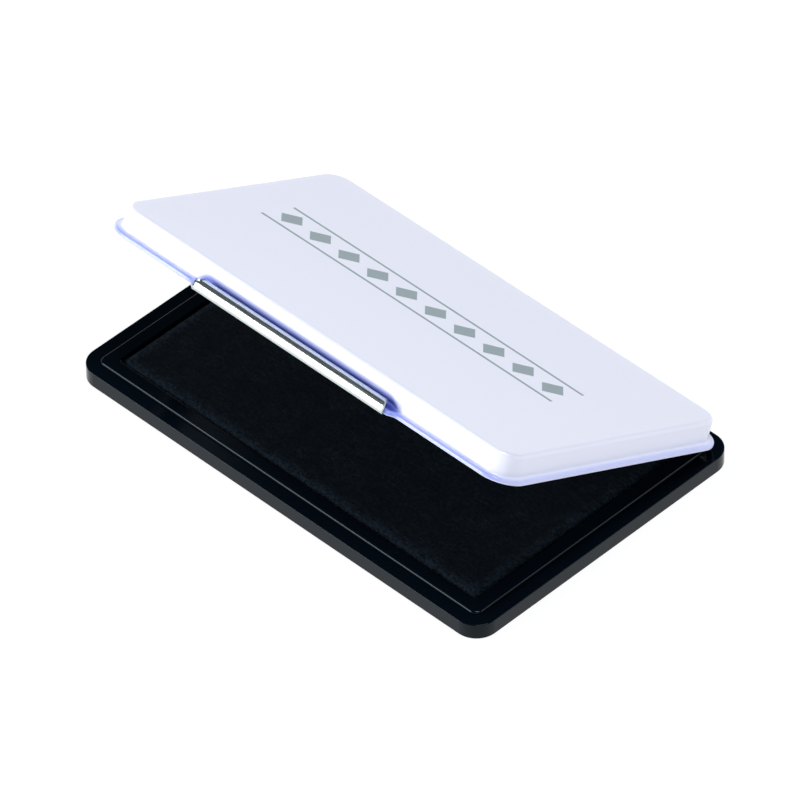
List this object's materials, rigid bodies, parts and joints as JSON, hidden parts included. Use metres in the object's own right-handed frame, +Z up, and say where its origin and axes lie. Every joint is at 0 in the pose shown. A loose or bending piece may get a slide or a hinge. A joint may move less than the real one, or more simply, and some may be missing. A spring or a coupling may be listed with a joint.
{
  "type": "ink pad",
  "caption": "Flat stamp pad: black tray with a framed, ink-soaked cloth pad and a white sheet-metal lid on a rear hinge, with a bright grip strip on its front edge.",
  "frame": {"origin": "centre of the tray's underside, on the surface the pad stands on", "axes": "+X to the right along the hinge, -Y towards the opening side, +Y towards the hinge, +Z up"},
  "size_m": [0.12, 0.0786, 0.0428],
  "materials": {
    "tray_plastic": "glossy black moulding",
    "frame_plastic": "glossy black moulding",
    "clear_film": "thin polyethylene sheet",
    "wool_felt": "ink-soaked felt",
    "fine_felt": "ink-soaked fine felt",
    "pad_cloth": "black ink-soaked brushed cloth",
    "lid_enamel": "smooth white enamel on tinplate",
    "strip_chrome": "bright plated",
    "pin_steel": "drawn wire"
  },
  "bodies": {
    "base": {"base_tray": "tray_plastic", "hinge_pins": "pin_steel", "pad_frame": "frame_plastic", "pad_backing_film": "clear_film", "felt_core": "wool_felt", "transfer_felt": "fine_felt", "pad_cloth": "pad_cloth"},
    "lid": {"lid_shell": "lid_enamel", "grip_strip": "strip_chrome"}
  },
  "joints": [
    {"name": "lid_hinge", "type": "hinge", "parent": "base", "child": "lid", "pos_m": [0, 0.03826, 0.0043], "axis": [-1, 0, 0], "range_deg": [-26.5, 133.5]}
  ]
}
